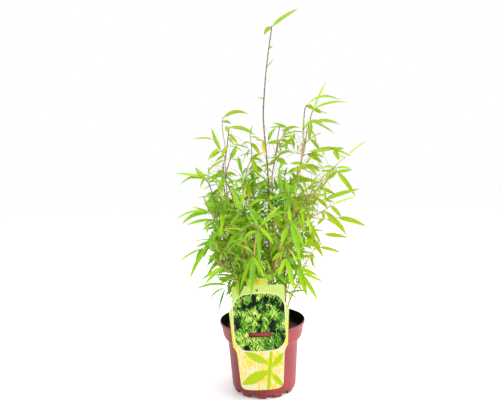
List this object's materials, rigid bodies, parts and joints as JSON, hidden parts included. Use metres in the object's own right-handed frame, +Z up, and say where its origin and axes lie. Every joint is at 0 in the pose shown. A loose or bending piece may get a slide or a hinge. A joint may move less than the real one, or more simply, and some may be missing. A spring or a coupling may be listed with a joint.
{
  "type": "potted fountain bamboo",
  "caption": "Young fountain bamboo: thin leafy canes rising from soil in a round plastic nursery pot, with a printed plant label hooked over its rim.",
  "frame": {"origin": "middle of the pot's standing face, at ground level", "axes": "+Z up along the pot's axis, -Y towards the front, where the label hangs, +X to the right seen from the front"},
  "size_m": [0.3558, 0.2935, 0.7173],
  "materials": {
    "pot": "satin",
    "soil": "rough",
    "label": "satin",
    "stem": "satin",
    "twig": "satin"
  },
  "bodies": {
    "root": {"pot": "pot", "soil": "soil", "label": "label", "stem_01": "stem", "stem_02": "stem", "stem_03": "stem", "stem_04": "stem", "stem_05": "stem", "stem_06": "stem", "stem_07": "stem", "stem_08": "stem", "stem_09": "stem", "stem_10": "stem", "stem_11": "stem", "stem_12": "stem", "stem_13": "stem", "stem_14": "stem", "stem_15": "stem", "stem_16": "stem", "stem_17": "stem", "stem_18": "stem", "stem_19": "stem", "twig_01a": "twig", "twig_01b": "twig", "twig_02a": "twig", "twig_03a": "twig", "twig_03b": "twig", "twig_03c": "twig", "twig_03d": "twig", "twig_04a": "twig", "twig_04b": "twig", "twig_04c": "twig", "twig_05a": "twig", "twig_05b": "twig", "twig_05c": "twig", "twig_06a": "twig", "twig_06b": "twig", "twig_07a": "twig", "twig_07b": "twig", "twig_07c": "twig", "twig_07d": "twig", "twig_08a": "twig", "twig_08b": "twig", "twig_08c": "twig", "twig_09a": "twig", "twig_09b": "twig", "twig_10a": "twig", "twig_10b": "twig", "twig_10c": "twig", "twig_11a": "twig", "twig_11b": "twig", "twig_12a": "twig", "twig_13a": "twig", "twig_13b": "twig", "twig_14a": "twig", "twig_15a": "twig", "twig_16a": "twig", "twig_17a": "twig", "twig_18a": "twig"}
  },
  "joints": []
}
